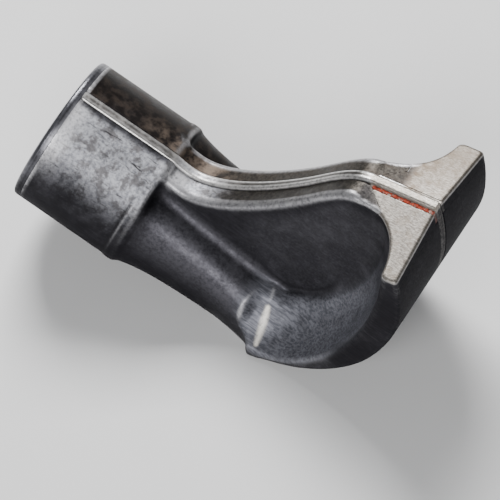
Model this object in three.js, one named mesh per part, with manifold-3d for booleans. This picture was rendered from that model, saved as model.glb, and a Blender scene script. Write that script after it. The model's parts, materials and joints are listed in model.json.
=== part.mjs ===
// Pipe-handled hand bender head, in millimetres.
// It is drawn in its own head frame: +X runs from the socket's mouth along the handle's axis,
// Y runs across the head, and Z points towards the saddle. At the end the whole head is turned
// to stand on its flat underside, with +Z up and the origin at the middle of its footprint.
import * as THREE from 'three';
import { mergeVertices } from 'three/addons/utils/BufferGeometryUtils.js';
import Module from 'manifold-3d';

const wasm = await Module();
wasm.setup();

// Driving dimensions
const GAP = 0.3;                  // clearance between pieces that touch
const SOCKET_RADIUS = 21.75;
const SOCKET_LENGTH = 33.3;
const BORE_RADIUS = 17;           // takes a 33.4 mm pipe handle
const BUSH_RADIUS = 19;
const BUSH_LENGTH = 29.5;
const FLANGE_LENGTH = 2.5;
const LIP = 0.9;                  // round on the mouth's outer edge
const STOP_LENGTH = 3.2;
const PLATE = 3;                  // thickness of the centre plate
const PROUD = 0.9;                // how far its top edge stands above the saddle
const HALF_WIDTH = 24.7;
const WEB_HALF = 7.4;             // half the width of the saddle's flange
const ARC_CENTRE = new THREE.Vector2(54.9, 44.4);
const ARC_RADIUS = 52.6;
const HEEL_ANGLE = THREE.MathUtils.degToRad(-61.2);
const TOP_ANGLE = THREE.MathUtils.degToRad(33);
const RIDGE_START = new THREE.Vector2(80.3, 70.1);
const RIDGE_END = new THREE.Vector2(99.6, 77.1);
const SADDLE_LOW = new THREE.Vector2(35.8, 20.6);
const SADDLE_STEEP = new THREE.Vector2(66, 50.6);
// how the saddle's line bends: the handles of its curves above and below the steep point
const UPPER_BEND = [[74, 67.8], [70, 57.6]];
const LOWER_BEND = [[54, 29.6], [43, 21]];
const DROP_LEAN = 0.67;           // the line moves this far along for each mm that it is lowered
// the front of the full-width heel block: down from the saddle, then in to the underside
const BLOCK_FRONT = [[64, 50], [64, 14], [77.5, 0.5]];
const ROOF_FALL = 0.158;          // sideways slope of the heel faces
const PAD_THICKNESS = 3.2;
const BEAD_WIDTH = 1;             // braze between the centre plate and a heel pad
const BEAD_PROUD = 0.4;
const POCKET_CENTRE = new THREE.Vector3(75, 30.6, 45);
const POCKET_REACH = { x: 26, y: 24.2, down: 45, up: 60 };   // the bowl's half-sizes
// radius of the neck at places along the handle's axis
const NECK = [
  [33, 21.2], [40, 19.9], [50, 19], [60, 18.6], [66, 18.7], [70, 19.7], [76, 21.4], [83, 25.2],
];
const NECK_CROWN = 10;            // below this height the head is the neck's round form only
const SCREW_AT = [10.5, 22];      // places of the clamp screws along the socket
const SCREW_RADIUS = 4;
const SCREW_TIP = 18.3;           // distances from the handle's axis
const SCREW_END = 21.4;
const RECESS_RADIUS = 2.3;        // hexagon, across its corners
const RECESS_DEPTH = 1.6;
const SEAT_RADIUS = 1.4;          // blind hole in the screw's tip for the pad's stem
const SEAT_DEPTH = 1.2;
const PAD_TIP = 17.05;
const PAD_RADIUS = 3.2;
const STEM_RADIUS = 1.1;
const STEM_REACH = 0.9;           // into the seat
const DOWEL_RADIUS = 2;
const DOWEL_HALF = 5.4;
const DOWEL_AT = [[42, -9], [52, 14], [72, 40], [96, 45]];
const INNER = PLATE / 2 + GAP;    // inner face of a cheek
const FAR = 200;                  // past every face

const heel = ARC_CENTRE.clone().add(
  new THREE.Vector2(Math.cos(HEEL_ANGLE), Math.sin(HEEL_ANGLE)).multiplyScalar(ARC_RADIUS));
const baseStart = new THREE.Vector2(SOCKET_LENGTH, -SOCKET_RADIUS);
const restTilt = Math.atan2(heel.y - baseStart.y, heel.x - baseStart.x);
const ridgeSlope = Math.atan2(RIDGE_END.y - RIDGE_START.y, RIDGE_END.x - RIDGE_START.x);

const steel = { metalness: 0.9, roughness: 0.45 };
const darkSteel = new THREE.MeshStandardMaterial({ color: 0x3b3b3f, ...steel });
const wornSteel = new THREE.MeshStandardMaterial({ color: 0x8b8a88, ...steel });
const groundSteel = new THREE.MeshStandardMaterial({ color: 0xbcb6b0, metalness: 0.95, roughness: 0.35 });
const copper = new THREE.MeshStandardMaterial({ color: 0xa8431c, metalness: 0.6, roughness: 0.6 });
const brass = new THREE.MeshStandardMaterial({ color: 0xb08d45, metalness: 0.9, roughness: 0.35 });

// Solids
function solidOf(geometry) {
  const bare = geometry.clone();
  bare.deleteAttribute('normal');
  bare.deleteAttribute('uv');
  const merged = mergeVertices(bare, 1e-4);
  return new wasm.Manifold(new wasm.Mesh({
    numProp: 3,
    vertProperties: new Float32Array(merged.attributes.position.array),
    triVerts: new Uint32Array(merged.index.array),
  }));
}

function geometryOf(solid) {
  const mesh = solid.getMesh();
  const geometry = new THREE.BufferGeometry();
  geometry.setAttribute('position', new THREE.BufferAttribute(mesh.vertProperties, 3));
  geometry.setIndex(new THREE.BufferAttribute(mesh.triVerts, 1));
  geometry.computeVertexNormals();
  return geometry;
}

// A profile in the X-Z plane, given depth across the head between two Y values
function across(shape, fromY, toY) {
  const depth = toY - fromY;
  const geometry = new THREE.ExtrudeGeometry(shape, { depth, bevelEnabled: false, curveSegments: 24 });
  geometry.rotateX(Math.PI / 2);
  return solidOf(geometry.translate(0, toY, 0));
}

// A solid turned about the handle's axis, from [x, radius] points
function turned(profile, segments = 64) {
  const points = profile.map(([x, radius]) => new THREE.Vector2(radius, x));
  return solidOf(new THREE.LatheGeometry(points, segments).rotateZ(-Math.PI / 2));
}

function rod(radius, fromX, toX, segments = 64) {
  return turned([[fromX, 0], [fromX, radius], [toX, radius], [toX, 0]], segments);
}

// A rod across the head, with its axis along Y
function crossRod(radius, fromY, toY, x, z, segments = 32) {
  const geometry = new THREE.CylinderGeometry(radius, radius, toY - fromY, segments);
  return solidOf(geometry.translate(x, (fromY + toY) / 2, z));
}

function block(low, high) {
  const size = high.map((value, i) => value - low[i]);
  const centre = high.map((value, i) => (value + low[i]) / 2);
  return solidOf(new THREE.BoxGeometry(...size).translate(...centre));
}

// The side's half-space, from a distance off the middle plane outwards
function sideOf(side, inner) {
  const ys = [side * inner, side * FAR].sort((a, b) => a - b);
  return block([-FAR, ys[0], -FAR], [FAR, ys[1], FAR]);
}

// The saddle's line from the ridge down to the socket, lowered to the flange by drop
function saddleLine(shape, drop) {
  const lowered = ([x, z]) => [x + drop * DROP_LEAN, z - drop];
  shape.lineTo(RIDGE_END.x, RIDGE_END.y - drop);
  shape.lineTo(...lowered(RIDGE_START));
  shape.bezierCurveTo(...UPPER_BEND.flatMap(lowered), ...lowered(SADDLE_STEEP));
  shape.bezierCurveTo(...LOWER_BEND.flatMap(lowered), ...lowered(SADDLE_LOW));
}

// The head's side view behind the socket: flat underside, round heel, ridge and saddle
function headOutline(drop) {
  const shape = new THREE.Shape();
  shape.moveTo(baseStart.x, baseStart.y);
  shape.lineTo(heel.x, heel.y);
  shape.absarc(ARC_CENTRE.x, ARC_CENTRE.y, ARC_RADIUS, HEEL_ANGLE, TOP_ANGLE, false);
  saddleLine(shape, drop);
  shape.lineTo(baseStart.x, SADDLE_LOW.y - drop);
  return shape;
}

// The full-width heel block's side view, before its pockets are cut
function heelOutline() {
  const shape = new THREE.Shape();
  shape.moveTo(heel.x, heel.y);
  shape.absarc(ARC_CENTRE.x, ARC_CENTRE.y, ARC_RADIUS, HEEL_ANGLE, TOP_ANGLE, false);
  shape.lineTo(RIDGE_END.x, RIDGE_END.y);
  shape.lineTo(RIDGE_START.x, RIDGE_START.y);
  BLOCK_FRONT.forEach(([x, z]) => shape.lineTo(x, z));
  return shape;
}

// A side pocket: a bowl of elliptic sections, longer above its widest level than below
function pocket(side) {
  const steps = 24;
  const profile = [];
  for (let i = 0; i <= steps; i += 1) {
    const angle = (i / steps - 0.5) * Math.PI;
    const height = (angle < 0 ? POCKET_REACH.down : POCKET_REACH.up) * Math.sin(angle);
    profile.push(new THREE.Vector2(i % steps === 0 ? 0 : POCKET_REACH.y * Math.cos(angle), height));
  }
  const geometry = new THREE.LatheGeometry(profile, 72).rotateX(Math.PI / 2);
  geometry.scale(POCKET_REACH.x / POCKET_REACH.y, 1, 1);
  return solidOf(geometry.translate(POCKET_CENTRE.x, side * POCKET_CENTRE.y, POCKET_CENTRE.z));
}

// A slab along the ridge that falls away sideways, between two depths below the ridge line
function roofSlab(side, innerY, top, bottom) {
  const outerY = HALF_WIDTH + 5;
  const fall = (y) => -PROUD - ROOF_FALL * y;
  const shape = new THREE.Shape([
    new THREE.Vector2(side * innerY, fall(innerY) - top),
    new THREE.Vector2(side * innerY, fall(innerY) - bottom),
    new THREE.Vector2(side * outerY, fall(outerY) - bottom),
    new THREE.Vector2(side * outerY, fall(outerY) - top),
  ]);
  const geometry = new THREE.ExtrudeGeometry(shape, { depth: 40, bevelEnabled: false });
  // shape x, y and depth become Y, Z and X
  geometry.applyMatrix4(new THREE.Matrix4().set(0, 0, 1, 0, 1, 0, 0, 0, 0, 1, 0, 0, 0, 0, 0, 1));
  geometry.rotateY(-ridgeSlope).translate(RIDGE_START.x, 0, RIDGE_START.y);
  return solidOf(geometry);
}

// The whole head's mass, before it is split into cheeks and pads
function headMass() {
  const neck = turned([[NECK[0][0], 0], ...NECK, [NECK.at(-1)[0], 0]]);
  let mass = neck.add(across(heelOutline(), -HALF_WIDTH, HALF_WIDTH));
  for (const side of [-1, 1]) {
    mass = mass.subtract(pocket(side));
  }
  const outline = across(headOutline(PROUD), -HALF_WIDTH, HALF_WIDTH);
  const web = block([SOCKET_LENGTH, -WEB_HALF, NECK_CROWN], [FAR, WEB_HALF, FAR]);
  mass = mass.intersect(outline).add(web.intersect(outline));
  for (const side of [-1, 1]) {
    mass = mass.subtract(roofSlab(side, 0, -HALF_WIDTH, 0));
  }
  const shell = rod(SOCKET_RADIUS, FLANGE_LENGTH + GAP, SOCKET_LENGTH);
  return mass.add(shell).subtract(rod(BUSH_RADIUS + GAP, -1, SOCKET_LENGTH));
}

function dowelHoles() {
  return DOWEL_AT.map(([x, z]) =>
    crossRod(DOWEL_RADIUS + GAP, -DOWEL_HALF - GAP, DOWEL_HALF + GAP, x, z, 24))
    .reduce((all, hole) => all.add(hole));
}

function screwHoles() {
  return SCREW_AT.map((x) => crossRod(SCREW_RADIUS + GAP, 0, FAR, x, 0))
    .reduce((all, hole) => all.add(hole));
}

const head = new THREE.Group();

function addPiece(name, solid, material) {
  const mesh = new THREE.Mesh(geometryOf(solid), material);
  mesh.name = name;
  head.add(mesh);
}

const mass = headMass();
const holes = dowelHoles();

function addSide(label, side) {
  let cheek = mass.intersect(sideOf(side, INNER)).subtract(holes);
  cheek = cheek.subtract(roofSlab(side, 0, -1, PAD_THICKNESS + GAP));
  if (side > 0) {
    cheek = cheek.subtract(screwHoles());
  }
  addPiece(`${label}_cheek`, cheek, darkSteel);
  const padInner = INNER + BEAD_WIDTH + GAP;
  addPiece(`${label}_heel_pad`, mass.intersect(roofSlab(side, padInner, -1, PAD_THICKNESS)), groundSteel);
  const beadRoom = block([0, -INNER - BEAD_WIDTH, 0], [RIDGE_END.x - GAP, INNER + BEAD_WIDTH, FAR]);
  const bead = roofSlab(side, INNER, -BEAD_PROUD, PAD_THICKNESS).intersect(beadRoom);
  addPiece(`${label}_braze_bead`, bead, copper);
}
addSide('near', -1);
addSide('far', 1);

// The centre plate forks round the bush and follows the whole side view
function centrePlate() {
  const slice = mass.intersect(block([0, -PLATE / 2, -FAR], [FAR, PLATE / 2, FAR]));
  const proudEdge = across(headOutline(0), -PLATE / 2, PLATE / 2)
    .intersect(block([0, -FAR, NECK_CROWN], [FAR, FAR, FAR]));
  const mouthStrip = block([FLANGE_LENGTH + GAP, -PLATE / 2, NECK_CROWN],
    [SOCKET_LENGTH + 2, PLATE / 2, SOCKET_RADIUS + PROUD / 2]);
  const bore = rod(BUSH_RADIUS + GAP, -1, SOCKET_LENGTH);
  return slice.add(proudEdge).add(mouthStrip).subtract(bore).subtract(holes);
}
addPiece('centre_plate', centrePlate(), wornSteel);

const flange = turned([
  [0, 0], [0, SOCKET_RADIUS - LIP], [LIP * 0.3, SOCKET_RADIUS - LIP * 0.3],
  [LIP, SOCKET_RADIUS], [FLANGE_LENGTH, SOCKET_RADIUS], [FLANGE_LENGTH, 0]]);
const bush = flange.add(rod(BUSH_RADIUS, FLANGE_LENGTH - 0.5, BUSH_LENGTH))
  .subtract(rod(BORE_RADIUS, -1, BUSH_LENGTH + 1)).subtract(screwHoles());
addPiece('socket_bush', bush, darkSteel);
addPiece('handle_stop', rod(BUSH_RADIUS - GAP, BUSH_LENGTH + GAP, BUSH_LENGTH + GAP + STOP_LENGTH), wornSteel);

SCREW_AT.forEach((x, i) => {
  const recess = crossRod(RECESS_RADIUS, SCREW_END - RECESS_DEPTH, SCREW_END + 1, x, 0, 6);
  const seat = crossRod(SEAT_RADIUS, SCREW_TIP - 1, SCREW_TIP + SEAT_DEPTH, x, 0, 20);
  const screw = crossRod(SCREW_RADIUS, SCREW_TIP, SCREW_END, x, 0).subtract(recess).subtract(seat);
  addPiece(`lock_screw_${i + 1}`, screw, darkSteel);
  const padBack = SCREW_TIP - GAP;
  const disc = crossRod(PAD_RADIUS, PAD_TIP, padBack, x, 0);
  const stem = crossRod(STEM_RADIUS, padBack - GAP, SCREW_TIP + STEM_REACH, x, 0, 20);
  addPiece(`screw_pad_${i + 1}`, disc.add(stem), brass);
});

DOWEL_AT.forEach(([x, z], i) => {
  addPiece(`alignment_dowel_${i + 1}`, crossRod(DOWEL_RADIUS, -DOWEL_HALF, DOWEL_HALF, x, z, 24), wornSteel);
});

// Stand the head on its flat underside, with the origin at the middle of its footprint
head.rotation.y = restTilt;
head.updateMatrixWorld(true);
const reach = new THREE.Box3().setFromObject(head, true);
head.position.set(-(reach.min.x + reach.max.x) / 2, -(reach.min.y + reach.max.y) / 2, -reach.min.z);
const part = new THREE.Group();
part.add(head);
part.updateMatrixWorld(true);

export default part;
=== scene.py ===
import json
import math
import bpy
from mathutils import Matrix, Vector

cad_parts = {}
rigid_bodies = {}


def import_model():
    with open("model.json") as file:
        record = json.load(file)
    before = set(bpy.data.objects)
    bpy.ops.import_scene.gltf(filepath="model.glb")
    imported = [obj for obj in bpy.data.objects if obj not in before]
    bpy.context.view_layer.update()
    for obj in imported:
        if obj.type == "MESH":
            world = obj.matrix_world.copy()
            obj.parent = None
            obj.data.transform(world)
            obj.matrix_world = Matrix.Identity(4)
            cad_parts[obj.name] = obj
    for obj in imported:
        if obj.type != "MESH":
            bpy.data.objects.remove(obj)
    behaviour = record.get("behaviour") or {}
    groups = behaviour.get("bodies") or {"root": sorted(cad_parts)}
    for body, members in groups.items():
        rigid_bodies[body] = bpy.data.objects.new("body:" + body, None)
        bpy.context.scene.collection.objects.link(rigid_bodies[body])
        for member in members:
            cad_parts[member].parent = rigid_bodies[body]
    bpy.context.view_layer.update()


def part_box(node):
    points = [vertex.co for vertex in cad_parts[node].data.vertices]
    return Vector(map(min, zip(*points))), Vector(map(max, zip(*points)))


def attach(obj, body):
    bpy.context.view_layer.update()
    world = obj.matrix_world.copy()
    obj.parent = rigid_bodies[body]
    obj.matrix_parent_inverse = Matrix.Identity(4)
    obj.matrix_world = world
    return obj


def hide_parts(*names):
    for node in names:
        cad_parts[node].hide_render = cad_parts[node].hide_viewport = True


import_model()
from types import SimpleNamespace

import bpy
import numpy as np
from mathutils import Matrix, Vector

# ---------------------------------------------------------------- sizes, in millimetres
# The forms are worked out in the head's own frame: x along the handle from the socket's mouth,
# y across the head, z towards the saddle. a is the distance from the middle plane.
SOCKET_RADIUS = 21.75
SOCKET_LENGTH = 33.3
BORE_RADIUS = 17.0
BUSH_RADIUS = 19.0
BUSH_LENGTH = 29.5
FLANGE_LENGTH = 2.5
STOP_START, STOP_LENGTH = 29.8, 3.2
HALF_WIDTH = 24.7
WEB_HALF = 7.4
PLATE_HALF = 1.5
PROUD = 0.9
NECK_START = 31.0           # the neck and the web start inside the socket's wall
NECK_END = 81               # the neck ends inside the heel's block
BLOCK_CORNER = 77           # where the block's sloping lower front would meet the handle's axis
WEB_LOW = 10                # the web and the plate's raised strip lie above this height
NECK_WAIST = 18.5
ARC_X, ARC_Z, ARC_RADIUS = 54.9, 44.4, 52.6
ARC_SWELL = 0.9             # the arc's radius grows by this towards the top of the heel
HEEL_ANGLE = math.radians(-61.2)
RIDGE_START = (80.3, 70.1)
RIDGE_END = (99.6, 77.1)
SADDLE_STEEP = (66.0, 50.6)
ROOF_FALL = 0.158
PAD_THICKNESS = 3.4
BEAD_OUTER = 2.55           # the braze lies between the plate and here
BEAD_PROUD = 0.2            # of the near line of braze
POCKET = (75.0, 29.6, 45.0)
POCKET_LEFT, POCKET_RIGHT, POCKET_DEPTH, POCKET_DOWN = 8.8, 25.0, 27.0, 45.3
NEAR_POCKET_UP, FAR_POCKET_UP = 49.0, 38.5
POCKET_SQUARE = 2.7         # 2 would be an ellipse in plan
POCKET_SIZE = 21            # turns the bowl's level into millimetres
STREAK_HIGHLIGHT_START, STREAK_HIGHLIGHT_END = (76.4, 14.0, 7.9), (79.4, 22.4, 1.8)    # painted highlight streak in the near pocket
GLINT_SPOT = (36.0, 4.0, 20.4)       # painted highlight, where the flange starts
CHANNEL_START = (42.0, 9.0, 32.8, 16.4)     # x, a, z and radius of the scoop under the flange
CHANNEL_END = (72.0, 10.6, 27.6, 16.9)
SCREW_AT = (10.5, 22.0)
SCREW_RADIUS = 4.0
SCREW_PITCH = 1.25
SCREW_TIP, SCREW_END = 18.3, 21.4
THREAD_DEPTH = 0.5
END_CHAMFER = 0.9
RECESS_HALF, RECESS_DEPTH = 2.0, 1.6        # the screw's hexagon
SEAT_RADIUS, SEAT_DEPTH = 1.35, 1.2         # hole in its tip, for the pad's stem
PAD_RADIUS, PAD_TIP, PAD_BACK = 3.2, 17.05, 18.0
STEM_RADIUS, STEM_REACH = 1.1, 0.9
SEAM = 0.02                 # closed joint between pieces that touch

# x, y and z ranges that hold a piece, and how fine its mesh is
HEAD_X, HEAD_Z = (2, 108), (-23, 79)
HEEL_X, HEEL_Z = (79, 108), (60, 78)
CHEEK_STEP, PLATE_STEP, TURNED_STEP, HEEL_STEP, BRAZE_STEP, SCREW_STEP = 0.5, 0.4, 0.45, 0.35, 0.16, 0.13
SHARP = math.radians(38)    # edges over this angle stay sharp
PAINTED_LIGHT_WAY = np.array((0.0, -0.76, 0.65))      # which way a surface faces to get the painted light on the neck's flank

heel = (ARC_X + ARC_RADIUS * math.cos(HEEL_ANGLE), ARC_Z + ARC_RADIUS * math.sin(HEEL_ANGLE))
RIDGE_SLOPE = (RIDGE_END[1] - RIDGE_START[1]) / (RIDGE_END[0] - RIDGE_START[0])
BASE_SLOPE = (heel[1] + SOCKET_RADIUS) / (heel[0] - SOCKET_LENGTH)
TILT = math.atan(BASE_SLOPE)


# ---------------------------------------------------------------- head frame and row frame
def turn(points):
    """Head-frame points turned to the standing position, before the shift."""
    x, y, z = points[:, 0], points[:, 1], points[:, 2]
    c, s = math.cos(TILT), math.sin(TILT)
    return np.column_stack([x * c + z * s, y, z * c - x * s])


stop_low, stop_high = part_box("handle_stop")
stop_middle = turn(np.array([[STOP_START + STOP_LENGTH / 2, 0.0, 0.0]]))[0]
SHIFT = np.array((stop_low + stop_high) / 2) * 1000 - stop_middle


def to_row(points):
    return (turn(np.asarray(points, float)) + SHIFT) / 1000


# ---------------------------------------------------------------- camera
LENS, SENSOR = 257.4, 36.0          # a long lens, 8 degrees across
VIEW_DISTANCE = 985.0
VIEW_AIM = (63.3, 0.0, 3.9)         # head frame
VIEW_BACK = (0.0211, -0.5088, 0.8606)
VIEW_UP = (-0.5661, 0.7034, 0.4298)


def place_camera():
    data = bpy.data.cameras.new("camera")
    data.lens = LENS
    data.sensor_width = SENSOR
    data.clip_end = 10
    camera = bpy.data.objects.new("camera", data)
    bpy.context.scene.collection.objects.link(camera)
    back, up = (Vector(turn(np.array([way]))[0]).normalized() for way in (VIEW_BACK, VIEW_UP))
    right = up.cross(back).normalized()
    eye = to_row(np.array([VIEW_AIM]) + VIEW_DISTANCE * np.array([VIEW_BACK]))[0]
    turned = Matrix((right, back.cross(right), back)).transposed()
    camera.matrix_world = Matrix.Translation(eye) @ turned.to_4x4()
    bpy.context.scene.camera = camera


place_camera()


# ---------------------------------------------------------------- field tools
def union(a, b, radius):
    blend = np.clip(0.5 + 0.5 * (b - a) / radius, 0, 1)
    return b + (a - b) * blend - radius * blend * (1 - blend)


def meet(a, b, radius):
    return -union(-a, -b, radius)


def cut(a, b, radius):
    return meet(a, -b, radius)


def ease(value, low, high):
    t = np.clip((value - low) / (high - low), 0, 1)
    return t * t * (3 - 2 * t)


def bezier(p0, p1, p2, p3, steps=80):
    t = np.linspace(0, 1, steps)[:, None]
    p0, p1, p2, p3 = map(np.array, (p0, p1, p2, p3))
    return (1 - t) ** 3 * p0 + 3 * (1 - t) ** 2 * t * p1 + 3 * (1 - t) * t ** 2 * p2 + t ** 3 * p3


# ---------------------------------------------------------------- the head's form
FAR_X = 130
saddle = np.vstack([
    [[-10, SOCKET_RADIUS + 0.45], [28, SOCKET_RADIUS + 0.3]],
    bezier((33.0, 21.9), (35.5, 21.2), (37.0, 20.9), (39.0, 21.0)),
    bezier((39.5, 21.1), (45, 21.9), (54.5, 30.4), SADDLE_STEEP),
    bezier(SADDLE_STEEP, (70, 57.6), (74, 67.8), RIDGE_START),
    [RIDGE_END, [FAR_X, RIDGE_END[1] + (FAR_X - RIDGE_END[0]) * RIDGE_SLOPE]]])
saddle_x = np.linspace(-10, FAR_X, 1400)
saddle_z = np.interp(saddle_x, saddle[:, 0], saddle[:, 1])
smoother = np.hanning(15)
saddle_z[20:-20] = np.convolve(saddle_z, smoother / smoother.sum(), "same")[20:-20]
saddle_cos = 1 / np.hypot(1, np.gradient(saddle_z, saddle_x))


def crown_field(x, a, z, drop):
    """Below the saddle line by drop; the heel faces also fall away sideways."""
    fall = ROOF_FALL * a * ease(x, RIDGE_START[0] - 4, RIDGE_START[0] + 1)
    return (z - np.interp(x, saddle_x, saddle_z) + fall) * np.interp(x, saddle_x, saddle_cos) + drop


def neck_radius(x):
    shoulder = 3.0 * np.exp(-np.maximum(x - SOCKET_LENGTH, 0) / 9)
    flare = 6.4 * (np.maximum(x - 62, 0) / 21) ** 2
    return NECK_WAIST + shoulder + flare


def pocket_field(x, y, z):
    """A bowl with a squarish plan. The far one stops lower than the near one."""
    px, py, pz = x - POCKET[0], np.abs(y) - POCKET[1], z - POCKET[2]
    pocket_up = np.where(y > 0, FAR_POCKET_UP, NEAR_POCKET_UP)
    along = np.abs(px) / np.where(px < 0, POCKET_LEFT, POCKET_RIGHT)
    depth = np.abs(py) / POCKET_DEPTH
    height = np.abs(pz) / np.where(pz < 0, POCKET_DOWN, pocket_up)
    plan = (along ** POCKET_SQUARE + depth ** POCKET_SQUARE) ** (2 / POCKET_SQUARE)
    return (np.sqrt(plan + height ** 2) - 1) * POCKET_SIZE


def from_segment(x, a, z, start, end):
    """Distance to a line between two places, and the share of the way along it."""
    run = np.subtract(end, start)
    t = ((x - start[0]) * run[0] + (a - start[1]) * run[1] + (z - start[2]) * run[2]) / (run @ run)
    t = np.clip(t, 0, 1)
    return np.sqrt(sum((v - s - t * r) ** 2 for v, s, r in zip((x, a, z), start, run))), t


def channel_field(x, a, z):
    """A tapering scoop along the neck, under the flange."""
    distance, share = from_segment(x, a, z, CHANNEL_START[:3], CHANNEL_END[:3])
    return distance - CHANNEL_START[3] - share * (CHANNEL_END[3] - CHANNEL_START[3])


def outer_fields(x, z):
    """The flat underside and the round heel."""
    base = (BASE_SLOPE * (x - SOCKET_LENGTH) - SOCKET_RADIUS - z) * math.cos(TILT)
    rise = np.degrees(np.arctan2(z - ARC_Z, np.maximum(x - ARC_X, 1)))
    arc = np.hypot(x - ARC_X, z - ARC_Z) - ARC_RADIUS - ARC_SWELL * ease(rise, -8, 16)
    arc = arc - np.maximum(75 - x, 0)
    return base, arc


def mass_field(x, y, z):
    """The whole head behind its socket."""
    a = np.abs(y)
    rho = np.hypot(a, z)
    base, arc = outer_fields(x, z)
    neck = meet(meet((rho - neck_radius(x)) * 0.96, NECK_START - x, 0.5), x - NECK_END, 0.5)
    left = np.maximum(POCKET[0] - x, (BLOCK_CORNER - x) * 0.7 - z * 0.7)
    block = meet(a - HALF_WIDTH, left, 1.0)
    mass = meet(union(neck, block, 3.4), a - HALF_WIDTH + SEAM, 0.8)
    mass = cut(mass, channel_field(x, a, z), 9.0)
    mass = cut(mass, pocket_field(x, y, z), 1.6)
    web = meet(np.maximum(a - WEB_HALF, WEB_LOW - z), NECK_START - x, 0.5)
    mass = union(mass, web, 3.2 - 1.6 * ease(x, 66, 78))
    mass = meet(mass, arc, 1.1)
    mass = meet(mass, base, 0.6)
    return meet(mass, crown_field(x, a, z, PROUD), 2.2 - 1.4 * ease(x, 77, 83))


def shell_field(x, a, z):
    return meet(np.hypot(a, z) - SOCKET_RADIUS, x - SOCKET_LENGTH, 1.6)


def head_field(x, y, z):
    head = union(mass_field(x, y, z), shell_field(x, np.abs(y), z), 1.6)
    return meet(head, FLANGE_LENGTH + SEAM - x, 0.15)


def bore_field(x, a, z):
    return np.maximum(np.hypot(a, z) - BUSH_RADIUS - SEAM, x - SOCKET_LENGTH)


def pad_start(a):
    return RIDGE_START[0] - 1.3 + 1.05 * np.minimum(a, WEB_HALF)


def pad_depth(x, a, z):
    """Negative where the heel pads are, above their bottom face."""
    return np.maximum(-crown_field(x, a, z, PROUD + PAD_THICKNESS), (pad_start(a) - x) * 0.7)


def screw_hole(x, z, at):
    return np.hypot(x - at, z) - SCREW_RADIUS - SEAM


def cheek_field(side):
    def field(x, y, z):
        a = y * side
        cheek = cut(head_field(x, y, z), bore_field(x, a, z), 0.1)
        cheek = np.maximum(cheek, -pad_depth(x, a, z) + SEAM)
        cheek = meet(cheek, PLATE_HALF + SEAM - a, 0.06)
        if side > 0:
            for at in SCREW_AT:
                cheek = cut(cheek, screw_hole(x, z, at), 0.5)
        return cheek
    return field


def pad_field(side):
    def field(x, y, z):
        a = y * side
        pad = np.maximum(mass_field(x, y, z), pad_depth(x, a, z) + SEAM)
        return meet(pad, BEAD_OUTER + SEAM - a, 0.1)
    return field


def bead_field(side, proud):
    def field(x, y, z):
        a = y * side
        ripple = proud * (np.sin(x * 2.1) + 0.7 * np.sin(x * 5.3 + 1))
        width = meet(PLATE_HALF + SEAM - a, a - BEAD_OUTER, 0.2)
        roof = crown_field(x, a, z, PROUD - proud - ripple * 0.4)
        top = meet(width, roof, 0.25)
        return np.maximum(top, np.maximum(pad_depth(x, a, z) + SEAM, outer_fields(x, z)[1] + 0.1))
    return field


def plate_field(x, y, z):
    a = np.abs(y)
    base, arc = outer_fields(x, z)
    rib = np.maximum(np.maximum(crown_field(x, 0 * a, z, 0), arc), np.maximum(WEB_LOW - z, base))
    rib = np.maximum(rib, FLANGE_LENGTH + SEAM - x)
    plate = np.minimum(np.minimum(rib, mass_field(x, 0 * a, z)), shell_field(x, 0 * a, z))
    plate = np.maximum(plate, -bore_field(x, 0 * a, z))
    plate = np.maximum(plate, FLANGE_LENGTH + SEAM - x)
    return meet(plate, a - PLATE_HALF, 0.9)


def bush_field(x, y, z):
    rho = np.hypot(y, z)
    flange = meet(np.maximum(rho - SOCKET_RADIUS, x - FLANGE_LENGTH), -x, 1.5)
    tube = meet(rho - BUSH_RADIUS, x - BUSH_LENGTH, 0.5)
    bush = cut(np.maximum(np.minimum(flange, tube), -x), rho - BORE_RADIUS, 0.8)
    for at in SCREW_AT:
        bush = cut(bush, np.maximum(screw_hole(x, z, at), -y), 0.3)
    return bush


def stop_field(x, y, z):
    middle = STOP_START + STOP_LENGTH / 2
    disc = meet(np.hypot(y, z) - BUSH_RADIUS + 0.2, np.abs(x - middle) - STOP_LENGTH / 2, 0.7)
    dish = np.sqrt((x - STOP_START + 40) ** 2 + y ** 2 + z ** 2) - 40.8
    return cut(disc, dish, 0.6)


def screw_field(at):
    def field(x, y, z):
        px, rho = x - at, np.hypot(x - at, z)
        turned = y / SCREW_PITCH + np.arctan2(z, px) / (2 * math.pi)
        thread = THREAD_DEPTH * np.abs(2 * (turned - np.floor(turned)) - 1)
        body = (rho - SCREW_RADIUS + thread) * 0.85
        body = np.maximum(body, np.maximum(rho - SCREW_RADIUS + END_CHAMFER - (SCREW_END - y), SCREW_TIP - y))
        body = meet(body, y - SCREW_END, 0.25)
        flats = [np.abs(px * math.cos(turn_by) + z * math.sin(turn_by))
                 for turn_by in np.radians((0, 60, 120))]
        hexagon = np.maximum(np.maximum(*flats[:2]), flats[2]) - RECESS_HALF
        recess = np.maximum(hexagon, SCREW_END - RECESS_DEPTH - y)
        seat = np.maximum(rho - SEAT_RADIUS, y - SCREW_TIP - SEAT_DEPTH)
        return cut(cut(body, recess, 0.2), seat, 0.1)
    return field


def screw_pad_field(at):
    def field(x, y, z):
        rho = np.hypot(x - at, z)
        disc = meet(rho - PAD_RADIUS, np.abs(y - (PAD_TIP + PAD_BACK) / 2) - (PAD_BACK - PAD_TIP) / 2, 0.3)
        stem = meet(rho - STEM_RADIUS, np.maximum(PAD_TIP + 0.2 - y, y - SCREW_TIP - STEM_REACH), 0.2)
        return union(disc, stem, 0.2)
    return field


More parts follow.
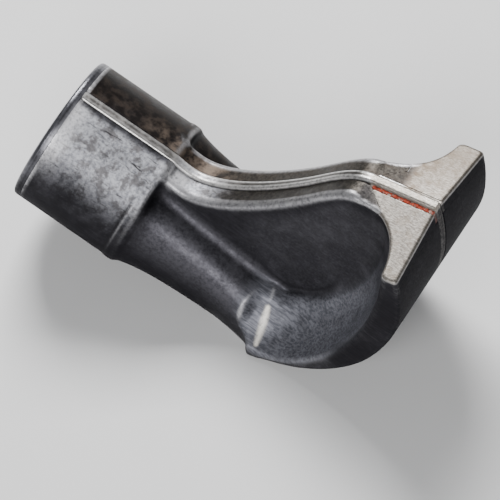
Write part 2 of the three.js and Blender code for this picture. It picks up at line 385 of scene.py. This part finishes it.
# ---------------------------------------------------------------- from a field to a mesh
def surface_net(field, room, step):
    """Closed quad mesh on the zero level of a field, in a room of x, y and z ranges."""
    axes = [np.arange(lo - step * 2, hi + step * 3, step) for lo, hi in room]
    value = field(axes[0][:, None, None], axes[1][None, :, None], axes[2][None, None, :])
    value = np.broadcast_to(value, [len(axis) for axis in axes]).astype(np.float32)
    inside = value < 0
    corners = [(i, j, k) for i in (0, 1) for j in (0, 1) for k in (0, 1)]
    nx, ny, nz = (size - 1 for size in inside.shape)
    count = sum(inside[i:nx + i, j:ny + j, k:nz + k].astype(np.int8) for i, j, k in corners)
    cells = np.argwhere((count > 0) & (count < 8))
    number = np.full(count.shape, -1, np.int64)
    number[tuple(cells.T)] = np.arange(len(cells))
    total = np.zeros((len(cells), 3))
    hits = np.zeros(len(cells))
    for place, start in enumerate(corners):
        for end in corners[place + 1:]:
            if sum(abs(s - e) for s, e in zip(start, end)) != 1:
                continue
            va = value[tuple((cells + start).T)]
            vb = value[tuple((cells + end).T)]
            crossing = (va < 0) != (vb < 0)
            share = np.where(crossing, va / np.where(crossing, va - vb, 1), 0)[:, None]
            total += (np.array(start) + share * (np.array(end) - start)) * crossing[:, None]
            hits += crossing
    origin = np.array([axis[0] for axis in axes])
    verts = origin + (cells + total / hits[:, None]) * step
    quads = []
    for axis in range(3):
        u, v = (axis + 1) % 3, (axis + 2) % 3
        ahead = np.take(inside, range(1, inside.shape[axis]), axis)
        behind = np.take(inside, range(inside.shape[axis] - 1), axis)
        edges = np.argwhere(ahead != behind)
        flip = ahead[tuple(edges.T)]
        step_u, step_v = np.eye(3, dtype=int)[u], np.eye(3, dtype=int)[v]
        ring = [edges - step_u - step_v, edges - step_v, edges, edges - step_u]
        quad = np.column_stack([number[tuple(cell.T)] for cell in ring])
        quad[flip] = quad[flip][:, ::-1]
        quads.append(quad)
    return verts, np.vstack(quads)


def gradient(field, p, reach=0.03):
    parts = []
    for axis in np.eye(3) * reach:
        parts.append((field(*(p + axis).T) - field(*(p - axis).T)) / (2 * reach))
    return np.column_stack(parts)


def limited(move, most):
    length = np.linalg.norm(move, axis=1, keepdims=True)
    return move * np.minimum(1, most / np.maximum(length, 1e-9))


def settle(field, p, step):
    """Moves points onto the zero level, then onto the sharp edges near them."""
    for _ in range(3):
        slope = gradient(field, p)
        push = field(*p.T) / np.maximum((slope ** 2).sum(1), 0.04)
        p = p - limited(slope * push[:, None], 0.4 * step)
    normal = np.eye(3) * 0.08 + np.zeros((len(p), 1, 1))
    pull = np.zeros((len(p), 3))
    for corner in np.array(np.meshgrid(*[(-0.5, 0.5)] * 3)).reshape(3, -1).T * step:
        slope = gradient(field, p + corner)
        level = field(*(p + corner).T) - (slope * corner).sum(1)
        normal += slope[:, :, None] * slope[:, None, :]
        pull -= slope * level[:, None]
    return p + limited(np.linalg.solve(normal, pull[:, :, None])[:, :, 0], 0.5 * step)


def curvature(field, p, reach=0.9):
    """Positive on ridges and negative in hollows, per millimetre."""
    total = sum(field(*(p + axis).T) + field(*(p - axis).T) for axis in np.eye(3) * reach)
    return (total - 6 * field(*p.T)) / reach ** 2


# ---------------------------------------------------------------- marks of wear, and of painted light and shade
def measures_of(form, p, side):
    """What the marks are worked out from, at each point of a surface."""
    x, y, z = p.T
    a = np.abs(y)
    slope = gradient(form, p)
    slope /= np.maximum(np.linalg.norm(slope, axis=1, keepdims=True), 1e-6)
    crown = crown_field(x, a, z, PROUD)
    start = pad_start(a) if side < 0 else RIDGE_START[0] + 7
    return SimpleNamespace(
        x=x, a=a, z=z, crown=crown, near=side < 0, far=side > 0,
        bend=curvature(form, p), up=turn(slope)[:, 2], lit=(slope * PAINTED_LIGHT_WAY).sum(1),
        angle=np.degrees(np.arctan2(y * side, z)), arc=outer_fields(x, z)[1],
        roof=ease(x, start - 0.6, start + (0.6 if side < 0 else 2)),
        inside=ease(x, 66, 73) * (1 - ease(crown, -9, -5)) * ease(a, 7, 10))


def edge_marks(m):
    """Bright worn ridges, and painted shade in the hollows."""
    lip = ease(m.a, 19, 22) * ease(m.x, 72, 78) * ease(-m.crown, 3, 6)
    shoulder = ease(m.x, 29, 31) * (1 - ease(m.x, 35, 37))
    neck = ease(m.x, SOCKET_LENGTH - 1, SOCKET_LENGTH + 1) * (1 - ease(m.x, 62, 68))
    neck = neck * ease(-m.crown, 2.5, 5)
    return {
        "ridge": ease(m.bend, 0.16, 0.62) * (1 - neck) * (1 - 0.6 * shoulder) * (1 - 0.85 * lip),
        # The next mark is painted shade in concave places, weaker on the pocket's up-facing floor.
        "crease_shade": ease(-m.bend, 0.03, 0.4) * (1 - 0.8 * m.inside * ease(m.up, 0, 0.3)),
    }


def socket_marks(m):
    """The pale patch and painted highlights of the near side, and the flange behind them."""
    socket = ease(m.x, 1.5, 3.5) * (1 - ease(m.x, SOCKET_LENGTH - 2.5, SOCKET_LENGTH + 0.5))
    patch = socket * ease(m.angle, 5, 11) * (1 - ease(m.angle, 22, 78))
    flange = ease(m.x, SOCKET_LENGTH - 2, SOCKET_LENGTH + 3) * (1 - m.roof) * ease(m.crown, -0.8, -0.2)
    flange_start = 1 - ease(m.x, 42, 54)
    # The next lines place painted highlights: a spot where the flange starts, and a band next to the mouth's
    # lip.
    spot = np.sqrt(sum((v - place) ** 2 for v, place in zip((m.x, m.a, m.z), GLINT_SPOT)))
    mouth = patch * (1 - ease(m.x, 3.5, 9))
    return {
        "patch": np.maximum(patch, flange * flange_start * 0.8) * m.near,
        "painted_glint": np.maximum(1 - ease(spot, 1.5, 5), mouth) * m.near,
        "flange": flange * (1 - flange_start),
    }


def far_marks(m):
    """Rust, bare metal and tarnish of the far side."""
    return {
        "warm": m.far * ease(m.angle, 0, 6) * (1 - ease(m.x, 70, 95)),
        "bare": m.far * (1 - ease(m.angle, 10, 32)) * ease(m.x, 17, 30) * (1 - ease(m.x, 84, 100)),
        "tarnish": m.far * ease(m.x, 80, 84) * ease(m.a, 2, 20),
    }


def heel_marks(m):
    """The ground heel faces, and painted shade on what looks down or lies round the heel."""
    under = ease(-m.up, -0.5, 0.12) * (1 - 0.55 * ease(m.x, 56, 66) * ease(-m.crown, 2, 6))
    end_face = ease(m.x, 84, 90) * ease(m.arc, -1.2, -0.5) * ease(-m.crown, 0.5, 1.5)
    rim = ease(m.a, HALF_WIDTH - 2.4, HALF_WIDTH - 0.6) * ease(m.z, 15, 30) * ease(-m.crown, 1.5, 4)
    return {
        "ground": m.roof * (1 - ease(-m.crown, 0.15, 0.9)),
        # Painted shade: on what looks down, on the heel's end face and on the pocket's outer rim.
        "painted_shade": np.clip(under + end_face + rim, 0, 1),
    }


def pocket_marks(m):
    """Painted light on the neck's flank, a painted lighter sheen on the pocket's floor and a painted
    highlight streak in it.
    """
    streak, along = from_segment(m.x, m.a, m.z, STREAK_HIGHLIGHT_START, STREAK_HIGHLIGHT_END)
    return {
        # Painted light on the neck's flank, where it faces one way.
        "painted_flank_light": ease(m.x, SOCKET_LENGTH, 40) * (1 - m.inside) * ease(m.lit, 0.6, 0.97) * m.near,
        # The streak is a painted highlight along a line on the near pocket's wall.
        "streak": (1 - ease(streak, 0.2, 0.9 + 0.7 * np.sin(math.pi * along))) * m.near,
        # Painted lighter sheen on the pocket's up-facing floor, weaker on the far side.
        "basin_sheen": m.inside * ease(m.up, 0.05, 0.5) * (1 if m.near else 0.4),
    }


def marks_of(form, p, side):
    """Where a surface is worn, patinated or ground, or gets painted shade or painted light, each from 0 to 1.
    """
    m = measures_of(form, p, side)
    return {**edge_marks(m), **socket_marks(m), **far_marks(m), **heel_marks(m), **pocket_marks(m)}


# ---------------------------------------------------------------- from a mesh to a piece
def piece(name, verts, faces, material, node, body, marks):
    mesh = bpy.data.meshes.new(name)
    mesh.from_pydata(to_row(verts).tolist(), [], faces.tolist())
    mesh.update()
    mesh.polygons.foreach_set("use_smooth", [True] * len(mesh.polygons))
    mesh.set_sharp_from_angle(angle=SHARP)
    for key, values in marks.items():
        layer = mesh.attributes.new(key, "FLOAT", "POINT")
        layer.data.foreach_set("value", np.asarray(values, np.float32))
    mesh.materials.append(material)
    thing = bpy.data.objects.new(name, mesh)
    bpy.context.scene.collection.objects.link(thing)
    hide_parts(node)
    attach(thing, body)
    return thing


def formed(name, field, room, step, material, node, body="root", side=-1, form=None):
    """A piece made from its field, with marks of wear and of painted light and shade taken from the whole
    head's form where given.
    """
    verts, faces = surface_net(field, room, step)
    verts = settle(field, verts, step)
    return piece(name, verts, faces, material, node, body, marks_of(form or field, verts, side))


# ---------------------------------------------------------------- shader tools
def srgb(red, green, blue):
    """A colour given as 0-255 display values, as linear values."""
    return (*(((value / 255 + 0.055) / 1.055) ** 2.4 for value in (red, green, blue)), 1)


def node(tree, kind, inputs, output=0, **settings):
    made = tree.nodes.new(kind)
    for key, value in settings.items():
        setattr(made, key, value)
    for key, value in inputs.items():
        if isinstance(value, bpy.types.NodeSocket):
            tree.links.new(value, made.inputs[key])
        else:
            made.inputs[key].default_value = value
    return made.outputs[output]


def noise(tree, vector, scale, detail, roughness=0.6, distortion=0):
    return node(tree, "ShaderNodeTexNoise", {
        "Vector": vector, "Scale": scale, "Detail": detail, "Roughness": roughness, "Distortion": distortion})


def ramp(tree, value, low, high, bottom=0.0, top=1.0):
    return node(tree, "ShaderNodeMapRange", {
        "Value": value, "From Min": low, "From Max": high, "To Min": bottom, "To Max": top},
        interpolation_type="SMOOTHSTEP")


def maths(tree, operation, first, second):
    return node(tree, "ShaderNodeMath", {0: first, 1: second}, operation=operation, use_clamp=True)


def mix(tree, factor, first, second):
    return node(tree, "ShaderNodeMix", {0: factor, 6: first, 7: second}, 2, data_type="RGBA")


def blend(tree, factor, first, second):
    return node(tree, "ShaderNodeMix", {0: factor, 2: first, 3: second}, 0, data_type="FLOAT")


def times(tree, first, second):
    return maths(tree, "MULTIPLY", first, second)


def mark(tree, name):
    return node(tree, "ShaderNodeAttribute", {}, 2, attribute_name=name)


def broken(tree, name, value, low, high, bottom=0.0, top=1.0):
    """A mark broken up by a noise."""
    return times(tree, mark(tree, name), ramp(tree, value, low, high, bottom, top))


def stretched(tree, vector, turn_by, scale):
    return node(tree, "ShaderNodeMapping", {
        "Vector": vector, "Rotation": tuple(map(math.radians, turn_by)), "Scale": scale})


def finish_material(tree, shader, colour, metallic, roughness, height, strength, distance):
    links = tree.links
    bump = node(tree, "ShaderNodeBump", {"Strength": strength, "Distance": distance, "Height": height})
    for key, value in (("Base Color", colour), ("Metallic", metallic), ("Roughness", roughness),
                       ("Normal", bump)):
        if isinstance(value, bpy.types.NodeSocket):
            links.new(value, shader.inputs[key])
        else:
            shader.inputs[key].default_value = value


def new_material(name):
    made = bpy.data.materials.new(name)
    made.use_nodes = True
    tree = made.node_tree
    position = node(tree, "ShaderNodeTexCoord", {}, 3)
    millimetres = node(tree, "ShaderNodeMapping", {
        "Vector": position, "Rotation": (0, -TILT, 0), "Scale": (1000, 1000, 1000)})
    return made, tree, tree.nodes["Principled BSDF"], millimetres


# ---------------------------------------------------------------- colours
# The last two colours on the next line are painted shade, for what looks down and for hollows.
FLECK, COAL, PAINTED_SHADE_COLOUR, CREASE_SHADE_COLOUR = srgb(120, 119, 124), srgb(24, 23, 25), srgb(25, 24, 28), srgb(30, 29, 32)
PALE_DIM, PALE, PALE_STAIN = srgb(128, 129, 136), srgb(200, 201, 207), srgb(96, 92, 92)
# The last two colours on the next line are painted highlights, a spot and a streak.
SCRATCH, PAINTED_GLINT, STREAK_HIGHLIGHT = srgb(70, 68, 70), srgb(232, 231, 234), srgb(255, 250, 240)
RUST_DARK, RUST, BARE_METAL = srgb(30, 26, 24), srgb(56, 48, 42), srgb(104, 92, 82)
# The last colour on the next line is painted light on the neck's flank.
FLANGE_DARK, FLANGE_LIGHT, FLANK_PAINTED_LIGHT = srgb(40, 38, 35), srgb(74, 70, 65), srgb(92, 91, 97)
# These colours paint a lighter sheen on the pocket's up-facing floor, with brushed lines.
BASIN_SHEEN_DARK, BASIN_SHEEN_LIGHT = srgb(92, 93, 100), srgb(130, 131, 139)
GROUND_DIM, GROUND, GROUND_BROWN = srgb(112, 107, 101), srgb(166, 161, 154), srgb(114, 102, 89)
GROUND_EDGE, GROUND_STAIN, PIT = srgb(98, 88, 77), srgb(88, 75, 62), srgb(88, 78, 70)


# ---------------------------------------------------------------- materials
def steel_noises(tree, mm):
    """The noises that the steel's colours and finish share, from wide blotches to fine lines."""
    return SimpleNamespace(
        blotch=noise(tree, mm, 0.11, 6, 0.62, 0.6),
        cloud=noise(tree, mm, 0.33, 5, 0.65),
        fine=noise(tree, mm, 1.1, 6, 0.72),
        grain=noise(tree, mm, 4.5, 3, 0.6),
        streak=noise(tree, stretched(tree, mm, (0, 8, 0), (0.16, 1.5, 1.5)), 1, 5, 0.62, 0.4),
        lines=noise(tree, stretched(tree, mm, (0, 0, 0), (0.09, 4, 4)), 1, 3, 0.5),
        ground=noise(tree, stretched(tree, mm, (0, 0, 62), (0.14, 3.2, 3.2)), 1, 5, 0.65))


def oxide(tree, noises, dark, middle):
    """Oxidised steel in blotches, with light flecks and dark clouds."""
    colour = mix(tree, ramp(tree, noises.blotch, 0.4, 0.66), dark, middle)
    colour = mix(tree, times(tree, ramp(tree, noises.fine, 0.5, 0.74), 0.2), colour, FLECK)
    return mix(tree, times(tree, ramp(tree, noises.cloud, 0.56, 0.44), 0.5), colour, COAL)


def pale_patina(tree, noises):
    """Pale steel with stains and long scratches."""
    pale = mix(tree, ramp(tree, noises.fine, 0.3, 0.64), PALE_DIM, PALE)
    pale = mix(tree, times(tree, ramp(tree, noises.cloud, 0.52, 0.38), 0.75), pale, PALE_STAIN)
    return mix(tree, ramp(tree, noises.streak, 0.6, 0.68), pale, SCRATCH)


def rusted(tree, noises, colour):
    """Rust on the far side, worn to brown metal in clouds."""
    rust = mix(tree, ramp(tree, noises.cloud, 0.42, 0.66), RUST_DARK, RUST)
    colour = mix(tree, times(tree, mark(tree, "warm"), 0.85), colour, rust)
    return mix(tree, broken(tree, "bare", noises.cloud, 0.36, 0.68, 0, 0.8), colour, BARE_METAL)


def flange_and_lit_flank(tree, noises, colour):
    """The flange's dull top, and painted light on the neck's flank where it faces the light."""
    dull = mix(tree, ramp(tree, noises.fine, 0.36, 0.64), FLANGE_DARK, FLANGE_LIGHT)
    colour = mix(tree, times(tree, mark(tree, "flange"), 0.85), colour, dull)
    return mix(tree, broken(tree, "painted_flank_light", noises.fine, 0.3, 0.66, 0.35, 1), colour, FLANK_PAINTED_LIGHT)


def ground_faces(tree, noises):
    """Ground steel with fine lines, brown tarnish and a few pits."""
    bright = mix(tree, ramp(tree, noises.ground, 0.34, 0.68), GROUND_DIM, GROUND)
    bright = mix(tree, times(tree, ramp(tree, noises.cloud, 0.46, 0.66), 0.45), bright, GROUND_BROWN)
    bright = mix(tree, times(tree, mark(tree, "tarnish"), 0.5), bright, GROUND_EDGE)
    bright = mix(tree, broken(tree, "bare", noises.cloud, 0.4, 0.6, 0.4, 0.95), bright, GROUND_STAIN)
    return mix(tree, ramp(tree, noises.fine, 0.33, 0.27), bright, PIT)


def worn_steel(name, dark, middle, worn, shine):
    """Old oxidised steel with pale patches, bright worn edges and ground faces, with painted shade on
    undersides and in hollows, painted light on the neck's flank and pocket floor, and painted highlights.
    """
    made, tree, shader, mm = new_material(name)
    noises = steel_noises(tree, mm)
    # Painted shade on what looks down or lies round the heel; it also dulls the metal there.
    painted_shade = broken(tree, "painted_shade", noises.streak, 0.36, 0.64, 0.82, 1)
    patch = broken(tree, "patch", noises.blotch, 0.3, 0.5, 0.45, 1)
    # Painted sheen on the pocket's up-facing floor.
    basin_sheen = broken(tree, "basin_sheen", noises.cloud, 0.3, 0.6, 0.75, 1)
    # The streak mark is a painted highlight.
    streak = broken(tree, "streak", noises.fine, 0.3, 0.5, 0.4, 1)
    edge = broken(tree, "ridge", noises.fine, 0.32, 0.58, 0.35, 0.85)
    edge = times(tree, edge, maths(tree, "SUBTRACT", 1, times(tree, painted_shade, 0.8)))
    ground = mark(tree, "ground")

    colour = mix(tree, patch, oxide(tree, noises, dark, middle), pale_patina(tree, noises))
    # Painted highlights: a spot where the flange starts and a band by the mouth.
    colour = mix(tree, broken(tree, "painted_glint", noises.fine, 0.34, 0.6, 0.3, 0.9), colour, PAINTED_GLINT)
    colour = flange_and_lit_flank(tree, noises, rusted(tree, noises, colour))
    # A lighter, brushed colour paints the sheen of the pocket's up-facing floor.
    brushed_sheen = mix(tree, ramp(tree, noises.streak, 0.36, 0.62), BASIN_SHEEN_DARK, BASIN_SHEEN_LIGHT)
    colour = mix(tree, basin_sheen, colour, brushed_sheen)
    # Painted shade in the hollows.
    colour = mix(tree, times(tree, mark(tree, "crease_shade"), 0.6), colour, CREASE_SHADE_COLOUR)
    colour = mix(tree, edge, colour, worn)
    # Painted shade.
    colour = mix(tree, times(tree, painted_shade, 0.92), colour, PAINTED_SHADE_COLOUR)
    # Painted highlight streak in the near pocket.
    colour = mix(tree, streak, colour, STREAK_HIGHLIGHT)
    colour = mix(tree, ground, colour, ground_faces(tree, noises))

    metallic = blend(tree, patch, 0.85, 0.35)
    metallic = blend(tree, times(tree, mark(tree, "warm"), 0.6), metallic, 0.3)
    metallic = blend(tree, maths(tree, "MAXIMUM", painted_shade, streak), metallic, 0)
    metallic = blend(tree, times(tree, basin_sheen, 0.8), metallic, 0.3)
    roughness = ramp(tree, noises.cloud, 0.35, 0.68, shine - 0.06, shine + 0.1)
    roughness = blend(tree, painted_shade, roughness, 0.75)
    roughness = blend(tree, patch, roughness, 0.5)
    roughness = blend(tree, edge, roughness, 0.28)
    roughness = blend(tree, ground, roughness, 0.4)
    height = maths(tree, "ADD", times(tree, noises.fine, 0.5), times(tree, noises.grain, 0.2))
    height = maths(tree, "ADD", height, times(tree, noises.lines, 0.15))
    shader.inputs["Specular IOR Level"].default_value = 0.05
    finish_material(tree, shader, colour, metallic, roughness, height, 0.3, 0.00025)
    return made


def red_braze():
    """Red oxide in patches over the braze that joins the plate."""
    made, tree, shader, mm = new_material("red_braze")
    fine = noise(tree, mm, 1.6, 6, 0.7)
    cloud = noise(tree, mm, 0.5, 4, 0.6)
    red = mix(tree, ramp(tree, fine, 0.4, 0.62), srgb(112, 44, 26), srgb(198, 66, 30))
    steel = mix(tree, ramp(tree, fine, 0.4, 0.6), srgb(120, 90, 76), srgb(186, 172, 162))
    colour = mix(tree, ramp(tree, cloud, 0.52, 0.6), red, steel)
    # Painted shade on the braze where it looks down or lies round the heel.
    colour = mix(tree, times(tree, mark(tree, "painted_shade"), 0.85), colour, srgb(52, 34, 30))
    finish_material(tree, shader, colour, 0.25, ramp(tree, fine, 0.3, 0.7, 0.5, 0.75), fine, 0.8, 0.0004)
    return made


def turned_metal(name, colour, tint, shine):
    """Machined metal with fine turning lines and a little tarnish."""
    made, tree, shader, mm = new_material(name)
    cloud = noise(tree, mm, 0.35, 5, 0.6)
    fine = noise(tree, mm, 2.5, 4, 0.65)
    rings = noise(tree, stretched(tree, mm, (0, 0, 0), (6, 0.3, 0.3)), 1, 3, 0.5)
    shade = mix(tree, ramp(tree, cloud, 0.4, 0.64), colour, tint)
    height = maths(tree, "ADD", times(tree, fine, 0.3), times(tree, rings, 0.5))
    roughness = ramp(tree, fine, 0.35, 0.7, shine, shine + 0.15)
    finish_material(tree, shader, shade, 0.9, roughness, height, 0.3, 0.0002)
    return made


cheek_steel = worn_steel("forged_steel", srgb(40, 39, 43), srgb(74, 73, 78), srgb(214, 213, 216), 0.44)
plate_steel = worn_steel("plate_steel", srgb(140, 136, 133), srgb(176, 172, 168), srgb(228, 226, 224), 0.34)
braze = red_braze()
bush_steel = worn_steel("bush_steel", srgb(52, 52, 56), srgb(82, 82, 87), srgb(120, 120, 126), 0.34)
stop_steel = turned_metal("stop_steel", srgb(120, 118, 116), srgb(86, 80, 74), 0.38)
screw_steel = turned_metal("screw_steel", srgb(74, 74, 78), srgb(48, 47, 50), 0.34)
brass = turned_metal("pad_brass", srgb(196, 160, 92), srgb(140, 106, 62), 0.3)


# ---------------------------------------------------------------- floor and light
def softbox(name, direction, distance, size, power):
    data = bpy.data.lights.new(name, "AREA")
    data.shape = "RECTANGLE"
    data.size, data.size_y = size
    data.energy = power
    lamp = bpy.data.objects.new(name, data)
    bpy.context.scene.collection.objects.link(lamp)
    lamp.location = Vector(direction).normalized() * distance
    lamp.rotation_euler = (-lamp.location).to_track_quat("-Z", "Y").to_euler()


def studio():
    mesh = bpy.data.meshes.new("floor")
    mesh.from_pydata([(-4, -4, 0), (4, -4, 0), (4, 4, 0), (-4, 4, 0)], [], [(0, 1, 2, 3)])
    made, tree, shader, mm = new_material("pale_floor")
    tone = mix(tree, noise(tree, mm, 0.05, 3), srgb(236, 236, 236), srgb(240, 240, 240))
    tree.links.new(tone, shader.inputs["Base Color"])
    shader.inputs["Roughness"].default_value = 0.9
    mesh.materials.append(made)
    floor = bpy.data.objects.new("floor", mesh)
    bpy.context.scene.collection.objects.link(floor)
    softbox("back_softbox", (-0.36, 0.55, 0.78), 1.1, (0.5, 0.4), 19)
    softbox("front_softbox", (0.2, -0.82, 0.6), 1.2, (0.8, 0.5), 11)
    world = bpy.data.worlds.new("studio")
    bpy.context.scene.world = world
    world.use_nodes = True
    world.node_tree.nodes["Background"].inputs["Color"].default_value = (0.8, 0.82, 0.85, 1)
    world.node_tree.nodes["Background"].inputs["Strength"].default_value = 0.16


studio()

# ---------------------------------------------------------------- the pieces
def side_pieces(label, side):
    across = sorted((side * PLATE_HALF, side * HALF_WIDTH))
    formed(f"{label}_cheek_forged", cheek_field(side), (HEAD_X, across, HEAD_Z), CHEEK_STEP,
           cheek_steel, f"{label}_cheek", side=side, form=head_field)
    formed(f"{label}_heel_pad_ground", pad_field(side), (HEEL_X, across, HEEL_Z), HEEL_STEP,
           cheek_steel, f"{label}_heel_pad", side=side, form=head_field)
    across = sorted((side * PLATE_HALF, side * (BEAD_OUTER + 0.3)))
    proud, metal = (BEAD_PROUD, braze) if side < 0 else (0, plate_steel)
    formed(f"{label}_braze", bead_field(side, proud), (HEEL_X, across, HEEL_Z), BRAZE_STEP,
           metal, f"{label}_braze_bead", side=side)


def clamp_pieces(number, at):
    around = (at - SCREW_RADIUS, at + SCREW_RADIUS)
    height = (-SCREW_RADIUS, SCREW_RADIUS)
    formed(f"lock_screw_{number}_threaded", screw_field(at), (around, (18, 22), height), SCREW_STEP,
           screw_steel, f"lock_screw_{number}", f"lock_screw_{number}")
    formed(f"screw_pad_{number}_turned", screw_pad_field(at), (around, (17, 20), height), SCREW_STEP,
           brass, f"screw_pad_{number}", f"screw_pad_{number}")


side_pieces("near", -1)
side_pieces("far", 1)
formed("centre_plate_rolled", plate_field, (HEAD_X, (-PLATE_HALF, PLATE_HALF), HEAD_Z), PLATE_STEP,
       plate_steel, "centre_plate")
formed("socket_bush_turned", bush_field, ((0, 30), (-22, 22), (-22, 22)), TURNED_STEP,
       bush_steel, "socket_bush")
formed("handle_stop_turned", stop_field, ((29, 34), (-19, 19), (-19, 19)), TURNED_STEP,
       stop_steel, "handle_stop")
for number, at in enumerate(SCREW_AT, 1):
    clamp_pieces(number, at)
for number in range(1, 5):
    bpy.data.objects[f"alignment_dowel_{number}"].material_slots[0].material = screw_steel
